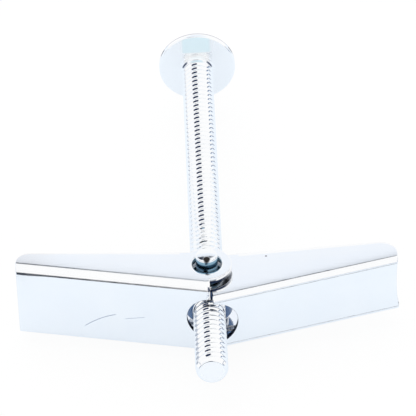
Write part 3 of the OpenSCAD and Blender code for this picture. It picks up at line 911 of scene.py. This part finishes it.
def bore_cutter():
    """Cylinder across the barrel, along the screw."""
    profile = [[0, -BORE_HALF], [BORE_R, -BORE_HALF], [BORE_R, BORE_HALF], [0, BORE_HALF]]
    points, faces = revolve(profile, NUT_SIDES)
    return np.stack([points[:, 0], points[:, 2], -points[:, 1]], -1), faces


nut_mesh = cut_away("nut", *nut_solid(), [bore_cutter()])
nut = cut_piece("nut_barrel", nut_mesh, at_nut, nut_plate, "nut", "nut_plate")
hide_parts("trunnion_nut")


# Spring

def wire(path):
    """Round wire carried along a path that lies almost level: point = path + r (cos a side + sin a up),
    with ends that close in a half round."""
    step = np.gradient(path, axis=0)
    step /= np.linalg.norm(step, axis=1, keepdims=True)
    turn = np.linspace(0, np.pi / 2, 5)
    ends = len(turn) - 1
    before = path[0] - step[0] * WIRE_R * np.sin(turn[::-1])[:, None]
    after = path[-1] + step[-1] * WIRE_R * np.sin(turn)[:, None]
    line = np.concatenate([before[:-1], path, after[1:]])
    tangent = np.concatenate([np.repeat(step[:1], ends, 0), step, np.repeat(step[-1:], ends, 0)])
    radius = np.concatenate([np.cos(turn[::-1])[:-1], np.ones(len(path)), np.cos(turn)[1:]]) * WIRE_R
    side = np.cross([0, 0, 1], tangent)
    side /= np.linalg.norm(side, axis=1, keepdims=True)
    up = np.cross(tangent, side)
    a = np.linspace(0, 2 * np.pi, WIRE_SIDES + 1)
    tube = line[:, None] + radius[:, None, None] * (
        np.cos(a)[None, :, None] * side[:, None] + np.sin(a)[None, :, None] * up[:, None])
    points, _, quads = weld(tube.reshape(-1, 3), grid_quads(len(line), WIRE_SIDES + 1))
    return at_nut(points), split_quads(quads)


def leg_angle(shape):
    """Direction and length of a leg that leaves the coil along a tangent, far enough out to clear the nut
    when the wing folds, and bears on the web at its reach."""
    tan_s, cos_s = slope_of(shape["slope"])
    bear_y = LEG_REACH * tan_s - shape["drop"] - NUT_SET + (SHEET_T + LEG_GAP + WIRE_R) / cos_s
    away = math.hypot(LEG_REACH, bear_y)
    return math.atan2(bear_y, LEG_REACH) + math.asin(LEG_R / away), math.sqrt(away ** 2 - LEG_R ** 2)


def spring_leg(shape, side, z):
    """Straight leg from the tangent point of the coil to the web."""
    turn, length = leg_angle(shape)
    t = np.linspace(0, length - WIRE_R, LEG_STEPS)
    x = LEG_R * math.sin(turn) + t * math.cos(turn)
    y = -LEG_R * math.cos(turn) + t * math.sin(turn)
    return np.stack([side * x, y, np.full_like(t, z)], -1)


def coil_path():
    """Helix (r cos a, r sin a, z) from the root of the left leg down to that of the right one: full turns
    and what lies between the two roots."""
    left_turn, right_turn = leg_angle(OUTER)[0], leg_angle(INNER)[0]
    end = -np.pi / 2 + right_turn + COIL_TURNS * 2 * np.pi
    a = np.linspace(-np.pi / 2 - left_turn, end, COIL_STEPS)
    return np.stack([COIL_R * np.cos(a), COIL_R * np.sin(a), np.linspace(COIL_TOP, COIL_LOW, COIL_STEPS)], -1)


coil = piece("spring_coil", *wire(coil_path()), spring_wire, "nut", "spring_wire")
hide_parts("torsion_spring")
piece("spring_leg_left", *wire(spring_leg(OUTER, -1, COIL_TOP)), spring_wire, "left_wing", "spring_wire")
piece("spring_leg_right", *wire(spring_leg(INNER, 1, COIL_LOW)), spring_wire, "right_wing", "spring_wire")


# Stage: floor, world, lamp and camera

def floor_sheet():
    """White sheet whose front edge runs in steps in front of the part. Metal sees it matt and pale blue, with
    its shade, and the camera sees it almost white, with a trace of that shade."""
    outline = [(-FLOOR_FAR, FLOOR_FAR), *FLOOR_FRONT, (FLOOR_RIGHT, FLOOR_FAR)]
    mesh = bpy.data.meshes.new("floor")
    mesh.from_pydata([(x * MM, y * MM, 0) for x, y in outline], [], [tuple(range(len(outline)))])
    floor = new_object("floor", mesh)
    material = bpy.data.materials.new("floor_white")
    material.use_nodes = True
    tree = material.node_tree
    tree.nodes.clear()
    add, link = node_tools(tree)

    def lit_and_glowing(colour, glow_colour, glow):
        """Diffuse surface with a glow of its own."""
        both = add("ShaderNodeAddShader")
        diffuse = add("ShaderNodeBsdfDiffuse", {"Color": colour})
        emission = add("ShaderNodeEmission", {"Color": glow_colour, "Strength": glow})
        link(diffuse.outputs[0], both.inputs[0])
        link(emission.outputs[0], both.inputs[1])
        return both.outputs[0]

    ray = add("ShaderNodeLightPath")
    either = add("ShaderNodeMixShader")
    link(ray.outputs["Is Camera Ray"], either.inputs[0])
    link(lit_and_glowing(FLOOR_MATT, FLOOR_SHEEN, SHEEN_STRENGTH), either.inputs[1])
    link(lit_and_glowing(FLOOR_TRACE, (*WHITE, 1), GLOW_STRENGTH), either.inputs[2])
    end = add("ShaderNodeOutputMaterial")
    link(either.outputs[0], end.inputs["Surface"])
    floor.data.materials.append(material)


def studio_world():
    """White all round. Metal sees a white light tent with a pale blue strip high up at its back, a dark
    batten along that strip, the dark front opening with the camera, and blue gaps at both sides."""
    world = bpy.data.worlds.new("tent")
    bpy.context.scene.world = world
    world.use_nodes = True
    tree = world.node_tree
    tree.nodes.clear()
    add, link = node_tools(tree)
    calc, ramp, between, all_of, _ = math_tools(tree)
    ray = add("ShaderNodeLightPath")
    look = add("ShaderNodeTexCoord")
    axes = add("ShaderNodeSeparateXYZ")
    link(look.outputs["Generated"], axes.inputs[0])
    x, y, z = axes.outputs
    degrees = 180 / math.pi
    round_front = calc("MULTIPLY", calc("ARCTAN2", x, calc("MULTIPLY", y, -1)), degrees)
    height = calc("MULTIPLY", calc("ARCSINE", z), degrees)
    over_top = calc("MULTIPLY", calc("ARCTAN2", z, y), degrees)

    # Front opening under a sill that falls off to the left, paler to the right, and the camera in its middle
    bent = calc("MINIMUM", calc("ADD", round_front, SILL_BEND), 0)
    over_sill = calc("SUBTRACT", height, calc("ADD", SILL_LOW, calc("MULTIPLY", bent, SILL_RISE)))
    paler = calc("SUBTRACT", 1, calc("MULTIPLY", ramp(round_front, *OPENING_RAMP), OPENING_PALER))
    opening = all_of(between(round_front, *OPENING_SIDES), ramp(over_sill, *SILL_EDGE), paler)
    camera_dark = all_of(between(round_front, *CAMERA_SIDES), between(height, *CAMERA_BAND))

    # Skew batten along the top of the strip, darker to both sides, with a faint shade below it
    over_end = calc("SUBTRACT", over_top, calc("SUBTRACT", BATTEN_END, calc("MULTIPLY", x, BATTEN_SKEW)))
    below_end = ramp(over_end, *BATTEN_TOP)
    sideways = calc("MAXIMUM", ramp(x, *BATTEN_LEFT), ramp(x, *BATTEN_RIGHT))
    depth = calc("ADD", BATTEN_DEPTH, calc("MULTIPLY", sideways, BATTEN_MORE))
    batten = all_of(ramp(over_top, *BATTEN_FOOT), below_end, depth)
    shade_depth = calc("ADD", SHADE_DEPTH, calc("MULTIPLY", ramp(x, *SHADE_RIGHT), SHADE_MORE))
    shade = all_of(ramp(over_top, *SHADE_FOOT), below_end, shade_depth)
    batten = all_of(calc("MAXIMUM", batten, shade), between(x, *BATTEN_ENDS))

    # Blue gaps at both sides: the right one under a stepped sill, and a post beyond the left one
    right_sill = RIGHT_SILL
    for step, rise in RIGHT_STEPS:
        right_sill = calc("ADD", right_sill, calc("MULTIPLY", ramp(round_front, *step), rise))
    right_sides = calc("MAXIMUM", between(round_front, *RIGHT_GAP), between(round_front, *RIGHT_STRIPE))
    right_gap = all_of(right_sides, ramp(calc("SUBTRACT", height, right_sill), *SILL_EDGE))
    left_gap = all_of(between(round_front, *LEFT_GAP), ramp(height, *LEFT_SILL), LEFT_DEPTH)
    post = all_of(between(round_front, *POST_SIDES), ramp(height, *POST_TOP))
    gaps = calc("MAXIMUM", calc("MAXIMUM", right_gap, left_gap), post)

    off_strip = calc("MAXIMUM", ramp(over_end, *STRIP_TOP), ramp(over_top, *STRIP_FOOT))
    tent = blend(tree, STRIP_BLUE, WHITE, off_strip)
    tent = blend(tree, tent, SIDE_BLUE, gaps)
    tent = blend(tree, tent, CAMERA_BLUE, camera_dark)
    tent = blend(tree, tent, OPENING_DARK, calc("MAXIMUM", opening, batten))
    backdrop = add("ShaderNodeBackground")
    link(blend(tree, WHITE, tent, ray.outputs["Is Glossy Ray"]), backdrop.inputs["Color"])
    end = add("ShaderNodeOutputWorld")
    link(backdrop.outputs[0], end.inputs["Surface"])


def soft_lamp():
    """One broad lamp overhead, for a soft shadow on the floor."""
    light = bpy.data.lights.new("overhead", "AREA")
    light.size = LAMP_SIZE
    light.energy = LAMP_POWER
    lamp = new_object("overhead", light)
    lamp.location = LAMP_PLACE
    lamp.rotation_euler = (-Vector(LAMP_PLACE)).to_track_quat("-Z", "Y").to_euler()
    lamp.visible_glossy = False


def photo_camera():
    """Camera at the photograph's place: eye, forward and up in the frame of the part."""
    forward = Vector(CAMERA_FORWARD).normalized()
    right = forward.cross(Vector(CAMERA_UP).normalized()).normalized()
    up = right.cross(forward)
    data = bpy.data.cameras.new("camera")
    data.sensor_fit = "HORIZONTAL"
    data.sensor_width = SENSOR_W
    data.lens = LENS
    data.clip_start = CLIP_NEAR
    data.clip_end = CLIP_FAR
    camera = new_object("camera", data)
    turn = Matrix((right, up, -forward)).transposed().to_4x4()
    camera.matrix_world = Matrix.Translation(CAMERA_EYE) @ turn
    bpy.context.scene.camera = camera


floor_sheet()
studio_world()
soft_lamp()
photo_camera()
bpy.context.scene.view_settings.view_transform = "Standard"
